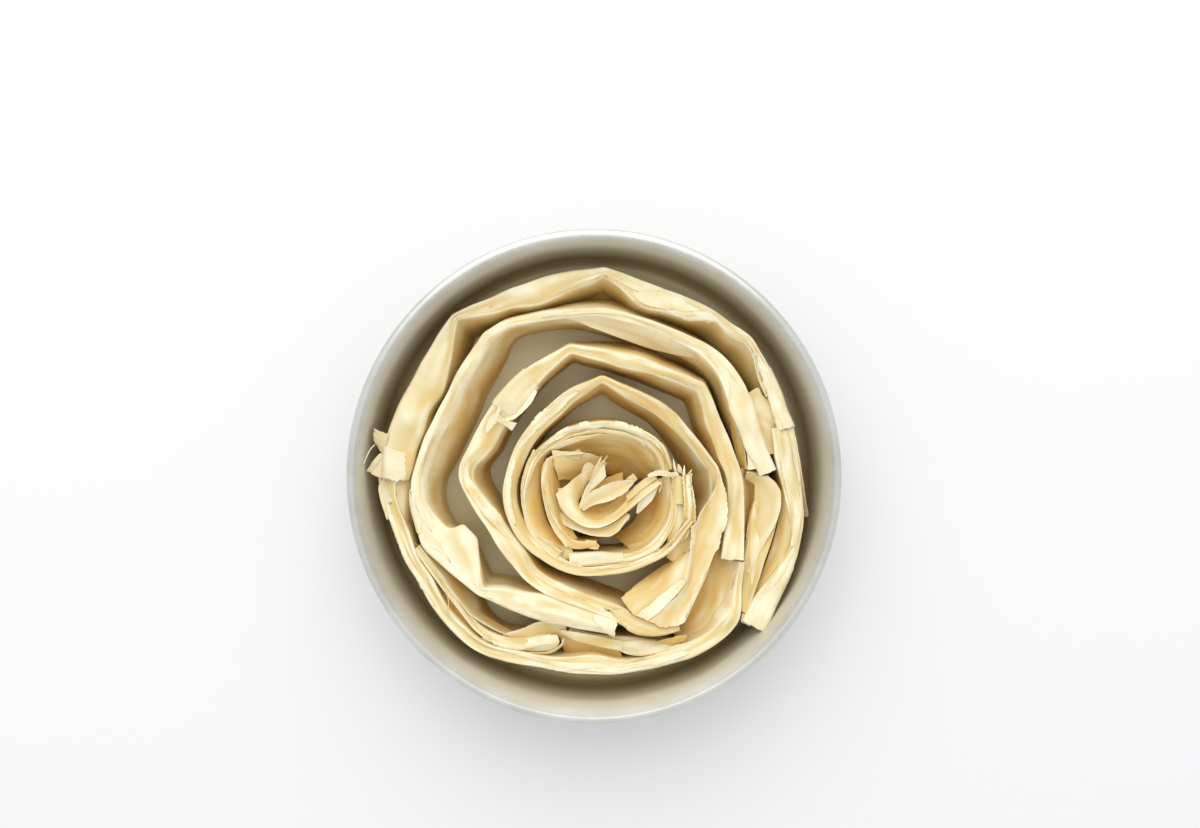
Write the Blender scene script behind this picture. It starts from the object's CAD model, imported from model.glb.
import bpy
import numpy as np
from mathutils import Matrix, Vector


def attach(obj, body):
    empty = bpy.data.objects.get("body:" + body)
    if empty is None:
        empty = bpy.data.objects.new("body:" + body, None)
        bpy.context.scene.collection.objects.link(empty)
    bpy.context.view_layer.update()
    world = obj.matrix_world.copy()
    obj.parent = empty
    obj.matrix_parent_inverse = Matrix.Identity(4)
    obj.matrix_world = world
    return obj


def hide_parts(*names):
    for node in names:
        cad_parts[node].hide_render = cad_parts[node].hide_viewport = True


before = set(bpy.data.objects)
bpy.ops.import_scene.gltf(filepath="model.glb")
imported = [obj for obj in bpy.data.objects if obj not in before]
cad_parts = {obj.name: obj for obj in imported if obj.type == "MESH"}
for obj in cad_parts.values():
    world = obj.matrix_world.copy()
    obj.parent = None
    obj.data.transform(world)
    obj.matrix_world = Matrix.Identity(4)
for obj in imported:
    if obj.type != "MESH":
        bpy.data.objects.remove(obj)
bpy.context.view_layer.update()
mm = 0.001
leafUnit = 100  # mm of paper to one unit of a leaf's flat places


# sRGB hex to linear RGBA: each channel goes through the sRGB curve.
def linearColour(hexColour):
    channels = np.array([int(hexColour[i:i + 2], 16) for i in (1, 3, 5)]) / 255
    linear = np.where(channels <= 0.04045, channels / 12.92, ((channels + 0.055) / 1.055) ** 2.4)
    return (*linear.tolist(), 1.0)


# Links a node's inputs to sockets given as (node, output).
def linkInputs(tree, node, links):
    for key, (source, output) in links.items():
        tree.links.new(source.outputs[output], node.inputs[key])


# Adds one node, sets its properties and inputs, and links the others.
def addNode(tree, kind, settings=None, inputs=None, links=None):
    node = tree.nodes.new(kind)
    for key, value in (settings or {}).items():
        setattr(node, key, value)
    for key, value in (inputs or {}).items():
        node.inputs[key].default_value = value
    linkInputs(tree, node, links or {})
    return node


# Cloudy noise over a vector, with about scale blots to one unit of it.
def addNoise(tree, vector, scale, detail, roughness=0.5):
    return addNode(tree, "ShaderNodeTexNoise", links={"Vector": vector},
                   inputs={"Scale": scale, "Detail": detail, "Roughness": roughness})


# Takes a value straight from one range to another, held at the ends.
def addRange(tree, value, inputs):
    return addNode(tree, "ShaderNodeMapRange", inputs=inputs, links={"Value": value})


# Mixes two colours by a share from 0 to 1: each is a hex colour or a (node, output) pair.
def addMix(tree, share, first, second):
    mix = addNode(tree, "ShaderNodeMix", {"data_type": "RGBA"}, links={0: share})
    for socket, colour in ((6, first), (7, second)):
        if isinstance(colour, str):
            mix.inputs[socket].default_value = linearColour(colour)
        else:
            linkInputs(tree, mix, {socket: colour})
    return mix


# A new material and its tree, with the plain numbers of its Principled shader set.
def startMaterial(name, numbers):
    material = bpy.data.materials.new(name)
    material.use_nodes = True
    tree = material.node_tree
    shader = tree.nodes["Principled BSDF"]
    for key, value in numbers.items():
        shader.inputs[key].default_value = value
    return material, tree, shader


# A smooth mesh from points in mm, wearing one material: uv has one place for each point, and
# values holds numbers for each point by attribute name.
def addPiece(name, points, faces, material, values, uv=None):
    mesh = bpy.data.meshes.new(name)
    mesh.from_pydata((points * mm).tolist(), [], faces)
    if uv is not None:
        corners = np.array(faces).ravel()
        mesh.uv_layers.new(name="leafFlat").data.foreach_set("uv", uv[corners].astype(np.float32).ravel())
    for attribute, value in values.items():
        mesh.attributes.new(attribute, "FLOAT", "POINT").data.foreach_set("value", value.astype(np.float32))
    mesh.polygons.foreach_set("use_smooth", np.ones(len(faces), bool))
    mesh.materials.append(material)
    mesh.update()
    piece = bpy.data.objects.new(name, mesh)
    bpy.context.collection.objects.link(piece)
    return piece


# Sine waves of random direction and phase over the coordinates, each with a number of cycles to
# one unit that is drawn between two limits.
def sineWaves(seed, coordinates, count, fewest, most):
    draw = np.random.default_rng(seed)
    for _ in range(count):
        direction = draw.normal(size=len(coordinates))
        direction *= 2 * np.pi * draw.uniform(fewest, most) / np.linalg.norm(direction)
        yield np.sin(sum(d * c for d, c in zip(direction, coordinates)) + draw.uniform(0, 2 * np.pi))


# Smooth noise from about -1 to 1, one unit long: the sum of ten sine waves over 3.2.
def noise(seed, *coordinates):
    return sum(sineWaves(seed, coordinates, 10, 0.6, 1.7)) / 3.2


# Creased noise from about -1 to 1, flat between straight folds: four sine waves turned into
# triangle waves by the arcsine, with their tips a little blunt, summed and divided by 3.
def folds(seed, *coordinates):
    return sum(np.arcsin(0.99 * wave) for wave in sineWaves(seed, coordinates, 4, 0.5, 1.2)) / 3


# The value of rows of numbers at fractional row numbers: straight from row to row, with a
# parabola across each inner row that takes up the given shares of the runs beside it. The rows
# are shared by all places, or each place has rows of its own.
def roundedLine(rows, places, before, after):
    last = rows.shape[-2] - 1
    own = np.arange(len(places))
    before, after = (np.broadcast_to(share, (len(places), last + 1)) for share in (before, after))

    def straight(at):
        i = np.clip(np.floor(at).astype(int), 0, last - 1)
        f = (at - i)[:, None]
        start, end = (rows[i], rows[i + 1]) if rows.ndim == 2 else (rows[own, i], rows[own, i + 1])
        return start * (1 - f) + end * f

    if last < 2:
        return straight(places)
    corner = np.clip(np.rint(places).astype(int), 1, last - 1)
    low, high = corner - before[own, corner], corner + after[own, corner]
    t = np.clip((places - low) / (high - low), 0, 1)[:, None]
    peak = rows[corner] if rows.ndim == 2 else rows[own, corner]
    bend = straight(low) * (1 - t) ** 2 + 2 * peak * t * (1 - t) + straight(high) * t ** 2
    return np.where(((places > low) & (places < high))[:, None], bend, straight(places))


# Quads of a grid stored row by row; a closed grid joins its last column to its first.
def gridFaces(rows, columns, closed=False):
    i, j = np.meshgrid(np.arange(rows - 1), np.arange(columns if closed else columns - 1), indexing="ij")
    k = (j + 1) % columns
    here, beyond = i * columns, (i + 1) * columns
    return np.stack([here + j, here + k, beyond + k, beyond + j], -1).reshape(-1, 4)


# Spun aluminium, dulled by washing: a pale warm-grey metal whose turning lines run round the
# axis, with faint stains. Where the attribute tarnish is 0 the metal is bare; towards 1 it is
# warmer and less of a mirror, and the rougher the higher up the wall it lies.
def spunAluminium():
    look = {"metal": "#dcdbd5", "stain": "#cdcabf", "stainSize": 24.0, "stainFrom": 0.4, "stainTo": 0.75,
            "ringSpacing": 1.1, "ringDepth": 0.05, "ringShare": 0.2, "stretch": 0.8, "quarterTurn": 0.25,
            "tarnish": "#cabf9c", "tarnishedMetallic": 0.45, "bareRoughness": 0.36, "bareBelow": 0.02,
            "floorRoughness": 0.34, "floorBelow": 4.0, "wallRoughness": 0.68, "wallAbove": 20.0}
    material, tree, shader = startMaterial("spunAluminium", {
        "Anisotropic": look["stretch"], "Anisotropic Rotation": look["quarterTurn"]})
    around = addNode(tree, "ShaderNodeTangent", {"direction_type": "RADIAL", "axis": "Z"})
    place = addNode(tree, "ShaderNodeTexCoord")
    split = addNode(tree, "ShaderNodeSeparateXYZ", links={0: (place, "Object")})
    flat = addNode(tree, "ShaderNodeCombineXYZ", links={0: (split, 0), 1: (split, 1)})
    radius = addNode(tree, "ShaderNodeVectorMath", {"operation": "LENGTH"}, links={0: (flat, 0)})
    ringPlace = addNode(tree, "ShaderNodeCombineXYZ", links={0: (radius, "Value"), 2: (split, 2)})
    turned = addNoise(tree, (ringPlace, 0), 1 / (look["ringSpacing"] * mm), detail=3.0)
    stains = addNoise(tree, (place, "Object"), 1 / (look["stainSize"] * mm), detail=6.0, roughness=0.65)
    share = addRange(tree, (stains, 0), {"From Min": look["stainFrom"], "From Max": look["stainTo"]})
    stained = addMix(tree, (share, 0), look["metal"], look["stain"])
    tarnish = addNode(tree, "ShaderNodeAttribute", {"attribute_name": "tarnish"})
    colour = addMix(tree, (tarnish, "Fac"), (stained, 2), look["tarnish"])
    metallic = addRange(tree, (tarnish, "Fac"), {"To Min": 1.0, "To Max": look["tarnishedMetallic"]})
    dull = addRange(tree, (split, 2), {
        "From Min": look["floorBelow"] * mm, "From Max": look["wallAbove"] * mm,
        "To Min": look["floorRoughness"], "To Max": look["wallRoughness"]})
    rough = addRange(tree, (tarnish, "Fac"), {"From Max": look["bareBelow"],
                                              "To Min": look["bareRoughness"]})
    linkInputs(tree, rough, {"To Max": (dull, 0)})
    bump = addNode(tree, "ShaderNodeBump", links={"Height": (turned, 0)},
                   inputs={"Strength": look["ringShare"], "Distance": look["ringDepth"] * mm})
    linkInputs(tree, shader, {"Base Color": (colour, 2), "Metallic": (metallic, 0), "Roughness": (rough, 0),
                              "Normal": (bump, 0), "Tangent": (around, 0)})
    return material


# Raw phyllo, rolled paper-thin and dusted with flour: matte, slightly see-through cream leaves.
# The attribute leafTone runs from shaded gold over cream to flour, and leafVeil towards a thin,
# paler leaf. Damp patches are yellower and less matte, and puckers and a fine grain raise it.
def rawPhyllo():
    look = {"gold": "#dcb15c", "cream": "#e3cb91", "creamAt": 0.5, "flour": "#f9efcf", "veil": "#ebdebd",
            "damp": "#e3c582", "dampSize": 15.0, "dampFrom": 0.42, "dampTo": 0.68, "dampShare": 0.6,
            "puckerSize": 6.0, "puckerDepth": 0.5, "puckerShare": 0.9, "grainSize": 1.1, "grainShare": 0.15,
            "fibre": 0.4, "dryRoughness": 0.72, "dampRoughness": 0.5, "glow": 0.15, "glowDepth": 1.0}
    material, tree, shader = startMaterial("rawPhyllo", {
        "IOR": 1.45, "Subsurface Weight": look["glow"], "Subsurface Scale": look["glowDepth"] * mm,
        "Subsurface Radius": (1.0, 0.7, 0.35), "Specular IOR Level": 0.35})
    flat = addNode(tree, "ShaderNodeUVMap", {"uv_map": "leafFlat"})
    stretched = addNode(tree, "ShaderNodeMapping", inputs={"Scale": (look["fibre"], 1.0, 1.0)},
                        links={"Vector": (flat, 0)})
    damp = addNoise(tree, (flat, 0), leafUnit / look["dampSize"], detail=5.0, roughness=0.6)
    puckers = addNoise(tree, (stretched, 0), leafUnit / look["puckerSize"], detail=4.0)
    grain = addNoise(tree, (stretched, 0), leafUnit / look["grainSize"], detail=2.0)
    tone = addNode(tree, "ShaderNodeAttribute", {"attribute_name": "leafTone"})
    veil = addNode(tree, "ShaderNodeAttribute", {"attribute_name": "leafVeil"})
    body = addNode(tree, "ShaderNodeValToRGB", links={0: (tone, "Fac")})
    body.color_ramp.elements.new(look["creamAt"])
    for element, name in zip(body.color_ramp.elements, ("gold", "cream", "flour")):
        element.color = linearColour(look[name])
    veiled = addMix(tree, (veil, "Fac"), (body, 0), look["veil"])
    share = addRange(tree, (damp, 0), {"From Min": look["dampFrom"], "From Max": look["dampTo"],
                                       "To Max": look["dampShare"]})
    colour = addMix(tree, (share, 0), (veiled, 2), look["damp"])
    rough = addRange(tree, (damp, 0), {"To Min": look["dryRoughness"], "To Max": look["dampRoughness"]})
    relief = addNode(tree, "ShaderNodeMath", {"operation": "MULTIPLY_ADD"},
                     {1: look["grainShare"]}, {0: (grain, 0), 2: (puckers, 0)})
    bump = addNode(tree, "ShaderNodeBump", links={"Height": (relief, 0)},
                   inputs={"Strength": look["puckerShare"], "Distance": look["puckerDepth"] * mm})
    linkInputs(tree, shader, {"Base Color": (colour, 2), "Roughness": (rough, 0), "Normal": (bump, 0)})
    return material


aluminium = spunAluminium()
phyllo = rawPhyllo()
print("materials made")


# In mm and degrees. The corner's arc stops wallLean short of upright, the bead's starts at
# beadTuck, and the outside of the wall ends belowBead under it. The bead is bare metal from crown
# inside its middle outwards. hub is the radius of the floor's middle disc, and tarnish is
# [height, share] inside the tin.
tin = {"rimInnerRadius": 114.5, "baseRadius": 111.0, "height": 55.0, "sheet": 1.2, "cornerRadius": 6.0,
       "wallLean": 6, "beadRadius": 2.75, "beadTuck": -60, "belowBead": 0.6, "crown": 0.4, "hub": 4,
       "tarnish": [[1.2, 1], [8, 0.65], [30, 0.75], [53, 0.2], [54.98, 0]], "segments": 256}


# An arc of a profile as (radius, height) pairs, centred on (r, z), between two angles.
def arc(r, z, radius, start, end, count):
    angle = np.radians(np.linspace(start, end, count))
    return np.stack([r + radius * np.cos(angle), z + radius * np.sin(angle)], 1)


# The closed profile of floor, corner, wall and rolled bead, turned round the axis: each point
# is (r cos a, r sin a, z). The last number of each run of the profile is how many points it has,
# and the floor's two sides close on one shared point each. The tarnish goes by height on the
# rows inside, up to the bead's crown; the outside is bare metal.
def makeTin():
    bottom = tin["baseRadius"] + tin["sheet"] - tin["cornerRadius"]
    top = tin["height"] - tin["beadRadius"]
    beadCentre = tin["rimInnerRadius"] + tin["beadRadius"]
    wallOut = tin["rimInnerRadius"] + tin["sheet"]
    wallTop = tin["height"] - 2 * tin["beadRadius"] - tin["belowBead"]
    outside = arc(bottom, tin["cornerRadius"], tin["cornerRadius"], -90, -tin["wallLean"], 10)
    wall = np.linspace(outside[-1], [wallOut, wallTop], 8)[1:]
    bead = arc(beadCentre, top, tin["beadRadius"], tin["beadTuck"], 180, 22)
    inside = arc(bottom, tin["cornerRadius"], tin["cornerRadius"] - tin["sheet"], -tin["wallLean"], -90, 10)
    innerWall = np.linspace(bead[-1], inside[0], 14)[1:-1]
    floorRun = np.linspace(tin["hub"], bottom, 12)[:-1]
    floorOut = np.stack([floorRun, 0 * floorRun], 1)
    floorIn = np.stack([np.linspace(bottom, tin["hub"], 12)[1:], 0 * floorRun + tin["sheet"]], 1)
    profile = np.concatenate([floorOut, outside, wall, bead, innerWall, inside, floorIn])
    angle = np.linspace(0, 2 * np.pi, tin["segments"], endpoint=False)
    grid = np.stack([profile[:, :1] * np.cos(angle), profile[:, :1] * np.sin(angle),
                     np.repeat(profile[:, 1:], tin["segments"], 1)], -1)
    rows, columns = grid.shape[:2]
    points = np.concatenate([grid.reshape(-1, 3), [[0, 0, 0], [0, 0, tin["sheet"]]]])
    ring = np.arange(columns)
    lastRing = (rows - 1) * columns
    under = np.stack([np.roll(ring, -1), ring, np.full(columns, rows * columns)], 1)
    upper = np.stack([lastRing + ring, lastRing + np.roll(ring, -1),
                      np.full(columns, rows * columns + 1)], 1)
    faces = gridFaces(rows, columns, closed=True).tolist() + under.tolist() + upper.tolist()
    beadInside = np.count_nonzero(bead[:, 0] < beadCentre - tin["crown"])
    indoors = np.arange(rows) >= rows - len(floorIn) - len(inside) - len(innerWall) - beadInside
    heights, shares = np.transpose(tin["tarnish"])
    tarnish = np.repeat(indoors * np.interp(profile[:, 1], heights, shares), columns)
    piece = addPiece("tinShell", points, faces, aluminium, {"tarnish": np.append(tarnish, [0, 1])})
    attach(piece, "root")
    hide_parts("tin")


makeTin()
print("tin made")


# In mm: step and looseStep are the mesh's steps along a strip and over a loose leaf, sharpBend is
# the run that a sharp bend takes up, and wave a slow rise and fall of the tops over (x, y). drift
# is how a strip's height, the width of its top (as a share) and its line change, and over what
# length.
paper = {"step": 1.3, "looseStep": 0.8, "thickness": 0.35, "floor": 1.6, "faceBulge": 0.8, "sharpBend": 1.5,
         "wave": {"height": 0.8, "length": 46.0, "direction": (0.8, 1.3)},
         "drift": {"height": (0.3, 45), "band": (0.04, 40), "inside": (0.15, 30)}}

# A strip's corners are rows of [x, y, band, reach, out, tip, groove] in millimetres: a bend of
# the outer ridge, the width of the folded top, how far the inner foot stands inside that, less
# than nothing for an overhang, how far the outer foot stands outside the outer ridge, how much
# higher the inner ridge is than the outer one, and the depth of the valley between them, less
# than nothing for a crown. bend is the run that a bend takes up on each side, in mm, and sharp
# lists the corners that take up less. outer and inner say how softly the two ridges bend, from
# 0.05 for a crease to 0.5 for a roll, with one number or one for each corner. valley and belly
# say how far across the top and the inner face their middle points lie. Thin slivers lie over
# the strip as far as sliversTo.
#     A layer is a leaf that lies on the strip. Its row is its start and end along the strip, the
# section places of its outer edge at both ends and of its inner edge at both ends (0 outer foot,
# 2 outer ridge, 4 inner ridge, 6 inner foot), its gap in mm, how torn it is, its tone and its
# veil. A leaf is loose: its row is how torn it is, its tone, with one number or one for each
# line, its veil, and then the lines of [x, y, z] points that it is stretched over.
#     The values in usual hold for a strip that gives none of its own.
usual = {"bend": 12, "sharp": [], "outer": 0.1, "valley": 0.5, "belly": 0.6, "layers": [],
         "sliversTo": np.inf}
strips = {}
strips["strip_outer_top"] = {
    "height": 39, "sharp": [4, 7], "valley": 0.72, "crumple": 0.65, "tone": 0.7,
    "inner": [0.3, 0.3, 0.3, 0.2, 0.05, 0.06, 0.06, 0.05, 0.12, 0.12, 0.12, 0.05, 0.08, 0.05, 0.1, 0.1],
    "corners": [
        [-105, -1.5, 13, 2, 0, -2.5, -1.2], [-102.2, 22, 15, 2, 0, -2.5, -1.4],
        [-88.5, 50, 15, 2, 0, -3, -1.6], [-79, 66.5, 11, 5, 0, -2.5, -0.6],
        [-70.5, 79.5, 3, 9, -1, -1, 0], [-50, 89.5, 9.5, 4, -1, -2, -1.2],
        [-22, 98.5, 12, 4, -2, -2, -1.4], [5, 102.5, 4, 6, -2, -1, 0.1],
        [28, 95.5, 13, 3, -2, -2, -0.6], [44, 88.5, 10, 3, -2, -0.5, -1.4],
        [54, 84, 7.5, 5, -2, -1, -0.8], [62, 79.3, 3.5, 8, -2, -1, 0], [71.5, 72.8, 6, 8, -2, -1, 0.3],
        [79.5, 66.8, 4, 10, -2, -1, 0.3], [90.5, 46, 6, 7, -2, -1, 0.6], [97.5, 26, 6, 4, -2, -1, 0.4]],
    "layers": [
        [186, 222, 2.2, 2.3, 4, 3, 0.5, 0.6, 1, 0], [205, 238, 2.9, 2.2, 4.3, 3.9, 0.35, 0.6, 1, 0],
        [255, 299, 1.95, 1.95, 3.9, 4.1, 0.4, 0.6, 1, 0], [0, 15, 1.9, 1.9, 3.5, 3, 0.5, 1, 1, 0.6]],
    "leaves": [
        [0.4, 0.7, 0.6, [[-101.6, 20.2, 39.2], [-108.6, 22.8, 40]],
         [[-102.8, 15.5, 39.2], [-109, 17.5, 39]], [[-103.2, 10.5, 39], [-106, 11.5, 38.2]]],
        [0.2, 1, 0, [[-103.6, 20.2, 38.8], [-108.8, 23.2, 41]], [[-103.7, 19.2, 39], [-108.5, 22.4, 41.3]]],
        [0.1, 1, 0, [[-108.4, 15.4, 39], [-110.7, 12.8, 42], [-113, 6.2, 44.5]],
         [[-108.2, 14.9, 39], [-110.2, 12.6, 42], [-112.7, 6, 44.4]]],
        [0.5, 0.7, 0.3, [[-105, 11, 38], [-107.5, 9.8, 38.5], [-112.2, 2.2, 38]],
         [[-104.5, 8, 38.4], [-106.8, 6, 38.7], [-110.2, 0.2, 38.3]]],
        [0.4, 1, 0, [[-104.5, 9, 38.8], [-107, 5, 39.2], [-110, 0.4, 39]],
         [[-103.2, 4, 39], [-104.6, 2, 39.3], [-106.8, -1, 39.2]],
         [[-102.3, 1, 39], [-103, -0.5, 39.2], [-103.8, -1.6, 39]]],
        [0.25, 1, 0, [[78.4, 61, 38.8], [80, 53, 38.6], [81.8, 46, 38.4], [85.2, 38.4, 37.5]],
         [[79.8, 60, 37], [81.2, 53, 37], [83, 46, 37], [85.8, 39, 36.5]]],
        [0.35, [0.7, 0.9, 0.6, 0.5], 0.4, [[77, 41, 33], [81.7, 44, 35], [83.5, 39, 35], [90, 36, 33]],
         [[77, 34, 32], [82, 34, 34], [86.8, 33, 34.8], [93, 31, 34]],
         [[79, 24, 32], [84, 24, 33.5], [87.8, 25, 34.5], [94, 24, 34]],
         [[84, 12, 31], [86, 11, 32], [88.2, 10, 33], [94, 10, 32]]],
        [0.3, 0, 0, [[-14, 92.5, 8], [5, 94, 8], [20, 90.5, 8]], [[-14, 86, 4], [5, 87, 4], [20, 86, 4]]]]}
strips["strip_outer_right"] = {
    "height": 38, "bend": 10, "inner": 0.12, "belly": 0.5, "crumple": 0.6, "tone": 0.6,
    "corners": [
        [98, 25, 10, 1, -4, 0, 0.4], [101.5, 6, 11, 1, -5, -1, 0.4], [104, -12, 8.5, 2, -5, -1, 0.8],
        [103, -32, 5, 4, -5, -1, 0.6], [95.5, -54, 9, 2, -5, -1, -0.6],
        [85.6, -73.6, 10.5, 1, -4, -1, -0.8]],
    "layers": [
        [2, 62, 2.6, 2.3, 3.6, 3.9, 0.35, 0.5, 0.8, 0.1],
        [60, 107, 1.95, 1.95, 3.4, 4.2, 0.3, 0.3, 1.1, 0]],
    "leaves": [
        [0.4, 0.7, 0.7, [[98.4, 25, 38.8], [100.5, 15, 38.5], [103.5, 0, 36], [107.5, -21, 30]],
         [[97, 23, 38.2], [99, 12, 37], [102, -6, 33], [105.2, -21, 28]]],
        [0.4, 0.5, 0, [[73.6, -69, 35], [72.9, -73, 35.3]], [[78, -70, 35.2], [77.6, -75.4, 35.5]]]]}
strips["strip_outer_bottom"] = {
    "height": 38, "bend": 10, "inner": 0.12, "crumple": 0.6, "tone": 0.72,
    "corners": [
        [74, -43, 2, 12, -2, 0, 0], [72.5, -62, 3, 16, -2, 0, 0], [72, -75, 7, 13, -2, -1, -0.5],
        [54, -88.5, 7, 5, -2, -1.5, -0.5], [22, -97, 5, 1, -2, -2, 0], [3, -99, 9, 1, -2, -1, 1.2],
        [-11, -98.4, 9, 1, -2, -1, 0.8], [-24, -96, 5, 2, -2, -1, 0.6], [-37, -94, 6, 2, -2, -1.5, 1.2],
        [-52, -90.5, 5, 2, -2, -1, 1.6], [-63.5, -84, 5, 2, -2, -1, 1.6], [-74, -73, 5, 2, -2, -1, 1.6],
        [-83, -60, 5.5, 2, -2, -1, 1.6], [-95, -39, 6, 2, -2, -1, 1.6],
        [-103.5, -17, 6, 3, -2, -1, 1.4], [-107, -0.6, 9, 3, -2, -1, 1]],
    "layers": [
        [60, 120, 2.1, 2.6, 3.5, 3, 0.3, 0.4, 1, 0], [120, 165, 1.95, 2, 3, 2.6, 0.3, 0.3, 1, 0],
        [200, 270, 2, 2, 2.5, 2.6, 0.35, 0.3, 1, 0]],
    "leaves": [
        [0.6, 0.2, 0, [[30, -84, 36], [38, -80.5, 36.5], [46, -79.5, 38]],
         [[31, -84, 33], [39, -85, 35], [45, -82.5, 36]]],
        [0.7, 0.9, 0, [[36, -86, 37], [44, -83, 37.5], [50, -83.5, 38]],
         [[38, -87.5, 37], [45, -86.5, 37.5], [50, -86, 38]]],
        [0.3, 0.1, 0, [[-94, -34, 31], [-83.5, -52, 28], [-75.5, -66, 28], [-60, -81, 30]],
         [[-89, -34, 31], [-79, -51, 28], [-70, -64, 28], [-56, -79, 30]]],
        [0.2, 1, 0, [[-104.3, -1.6, 38.4], [-106.9, -6, 38.6], [-105.4, -13, 38.4], [-102.4, -22, 38]],
         [[-103.2, -1.8, 36.5], [-105.4, -6, 36.5], [-104, -13, 36.5], [-101.4, -22, 36.5]]],
        [0.4, [0.9, 0.5, 0.1], 0.3, [[-100, 0, 36], [-98.5, -8, 36], [-97, -20, 35], [-95, -30, 34]],
         [[-92, 0, 33], [-92.5, -8, 33], [-94, -18, 33], [-94.5, -30, 33.5]],
         [[-88, -2, 24], [-88.5, -10, 22], [-90, -20, 22], [-92, -30, 26]]],
        [0.3, [0.9, 0.5, 0.3], 0,
         [[72.4, -34, 34], [71.8, -54, 36], [70.8, -67, 35.5], [63, -80, 35], [47, -89.5, 34]],
         [[65.5, -34, 28], [64, -54, 29], [61.5, -65, 29], [54, -76, 28], [43, -83.5, 28]],
         [[57, -34, 22], [51, -54, 21], [46, -64, 20], [42, -72, 20], [38, -79, 20]]],
        [0.1, 0.5, 0, [[-73.4, -58, 36.5], [-72.2, -64, 38.2], [-73, -70, 37]],
         [[-73.1, -58, 36.3], [-71.9, -64, 38], [-72.7, -70, 36.8]]]]}
strips["strip_bottom_fold"] = {
    "height": 35, "bend": 8, "outer": 0.12, "belly": 0.7, "crumple": 0.45, "tone": 0.8,
    "inner": [0.45, 0.4, 0.15, 0.1, 0.08, 0.08, 0.08],
    "corners": [
        [-21, -84.4, 4.5, 1, -1, -2, -1.6], [-38, -87, 4.5, 2, -1, -1, -0.8],
        [-50, -84.5, 3.5, 3, -1, -1, 0], [-61, -76.5, 3, 5, -1, -1, 0.8],
        [-70.5, -63.5, 3, 8, -1, -1, 0.8], [-80, -50, 3.5, 7, -1, -1, 0.8],
        [-89.5, -37, 3, 4, -1, -1, 0.6]],
    "layers": [[0, 36, 1.7, 2, 2.6, 2.9, 0.4, 0.3, 1, 0]],
    "leaves": [
        [0.35, [1.1, 0.4], 0,
         [[-84, -39, 34.2], [-80.2, -45.6, 34.6], [-68.5, -60.9, 34.6], [-61.4, -70.3, 34],
          [-47, -78.3, 33], [-41, -80.2, 32.5]],
         [[-83, -38.5, 26], [-78.6, -44.6, 24], [-67, -60, 22], [-60, -69, 22], [-46, -77.2, 24],
          [-41, -79, 27]]],
        [0.4, [0.9, 0.4], 0, [[-46, -79.8, 31], [-36, -77, 33.3], [-27, -72.4, 34.6], [-14, -75, 34]],
         [[-44, -81.4, 30], [-35, -81.4, 31.5], [-24.5, -81.8, 32], [-14, -81, 31.5]]],
        [0.3, [1.1, 0.9, 0.6], 0,
         [[-42, -82.8, 31.5], [-34, -82, 34], [-24, -79.6, 35.6], [-18.4, -79.6, 35]],
         [[-42, -84.6, 33], [-34, -85.2, 35.4], [-24, -84, 36.8], [-16.8, -83, 36]],
         [[-42, -86.4, 31.5], [-34, -88, 33.4], [-24, -88.2, 34], [-19, -86.8, 33.6]]],
        [0.15, 1, 0,
         [[-56, -81.5, 34], [-41, -87, 35], [-31, -88.5, 35.3], [-22, -88, 35.3], [-16.5, -84.5, 35],
          [-15.8, -81.5, 34.5]],
         [[-56, -82.5, 32], [-41, -88, 33], [-31, -89.3, 33.5], [-21.5, -88.9, 33.5], [-15.4, -85, 33],
          [-14.8, -81.5, 33]]]]}
strips["strip_bottom_tail"] = {
    "height": 33, "bend": 8, "inner": 0.16, "belly": 0.5, "crumple": 0.5, "tone": 0.75,
    "corners": [
        [42, -88, 4, 1, -1, -1, -0.4], [20, -91, 9, 1, -1, -1, -0.8], [8, -87, 6, 1, 4, -1, 0],
        [-2, -83, 3.5, 1, 8, -1, 0], [-13, -79.5, 3, 1, 7, -1, 0]],
    "layers": [[2, 34, 2, 2.2, 3.8, 3.9, 0.3, 0.5, 1, 0]],
    "leaves": [
        [0.3, [1, 0.5], 0, [[-18, -77.4, 34], [-13.5, -77.4, 35], [2, -80.2, 34.5], [14, -83, 34]],
         [[-17.6, -78.4, 33.5], [-10, -82.6, 34], [2, -85.8, 33.4], [14, -88, 33]]],
        [0.4, [0.7, 0.3, 0.1], 0, [[-17.8, -78.4, 33.2], [-4, -81, 33], [12, -84, 32]],
         [[-16.4, -85, 28], [-2, -88, 28], [14, -92, 28]], [[-15, -90, 24], [0, -95, 25], [14, -96, 26]]]]}
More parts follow.
